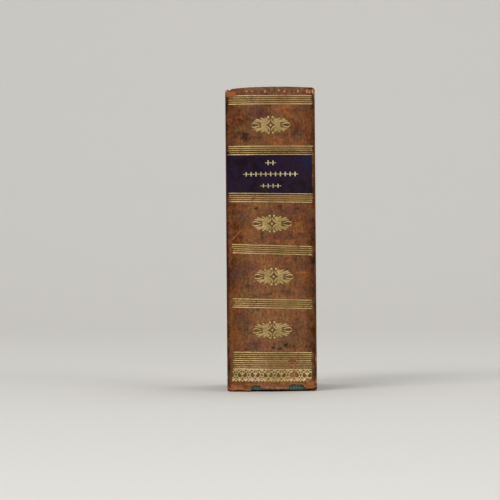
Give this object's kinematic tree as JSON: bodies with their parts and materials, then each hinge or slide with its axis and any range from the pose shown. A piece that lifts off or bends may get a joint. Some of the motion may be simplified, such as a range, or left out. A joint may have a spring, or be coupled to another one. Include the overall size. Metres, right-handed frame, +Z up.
{
  "type": "leather-bound book",
  "caption": "Antique book in worn mottled calf: rounded hollow back with gilt bands and leaf ornaments, dark label, laced boards that open, endbands and a rounded block of pages.",
  "frame": {"origin": "on the surface that the book stands on, midway through its thickness and depth", "axes": "+Z up the spine to the head, -Y out of the spine, +X towards the front cover"},
  "size_m": [0.0534, 0.1124, 0.1807],
  "materials": {
    "calf_leather": "worn mottled calf, low sheen",
    "label_leather": "dark aubergine goatskin, worn",
    "gold_leaf": "tarnished gold leaf",
    "page_paper": "aged rag paper",
    "endpaper": "aged laid paper",
    "pasteboard": "grey-brown pasteboard",
    "spine_card": "brown card",
    "lining_paper": "waste paper lining",
    "hemp_cord": "hemp",
    "endband_silk": "faded teal silk"
  },
  "bodies": {
    "book_block": {"text_block": "page_paper", "spine_lining": "lining_paper", "head_band": "endband_silk", "tail_band": "endband_silk", "head_band_core": "hemp_cord", "tail_band_core": "hemp_cord", "sewing_cord_1": "hemp_cord", "sewing_cord_2": "hemp_cord", "sewing_cord_3": "hemp_cord", "sewing_cord_4": "hemp_cord", "spine_stiffener": "spine_card", "spine_leather": "calf_leather", "tail_turn_in": "calf_leather", "title_label": "label_leather", "label_ornament": "gold_leaf", "tail_roll": "gold_leaf", "gilt_fillet_1": "gold_leaf", "gilt_fillet_2": "gold_leaf", "gilt_fillet_3": "gold_leaf", "gilt_fillet_4": "gold_leaf", "gilt_fillet_5": "gold_leaf", "gilt_fillet_6": "gold_leaf", "gilt_fleuron_1": "gold_leaf", "gilt_fleuron_2": "gold_leaf", "gilt_fleuron_3": "gold_leaf", "gilt_fleuron_4": "gold_leaf", "front_flyleaf": "endpaper", "back_flyleaf": "endpaper"},
    "front_cover": {"front_board": "pasteboard", "front_leather": "calf_leather", "front_pastedown": "endpaper", "front_cord_slips": "hemp_cord"},
    "back_cover": {"back_board": "pasteboard", "back_leather": "calf_leather", "back_pastedown": "endpaper", "back_cord_slips": "hemp_cord"}
  },
  "joints": [
    {"name": "front_hinge", "type": "hinge", "parent": "book_block", "child": "front_cover", "pos_m": [0.0269, -0.0479, 0], "axis": [0, 0, -1], "range_deg": [0, 180]},
    {"name": "back_hinge", "type": "hinge", "parent": "book_block", "child": "back_cover", "pos_m": [-0.0269, -0.0479, 0], "axis": [0, 0, 1], "range_deg": [0, 180]}
  ]
}
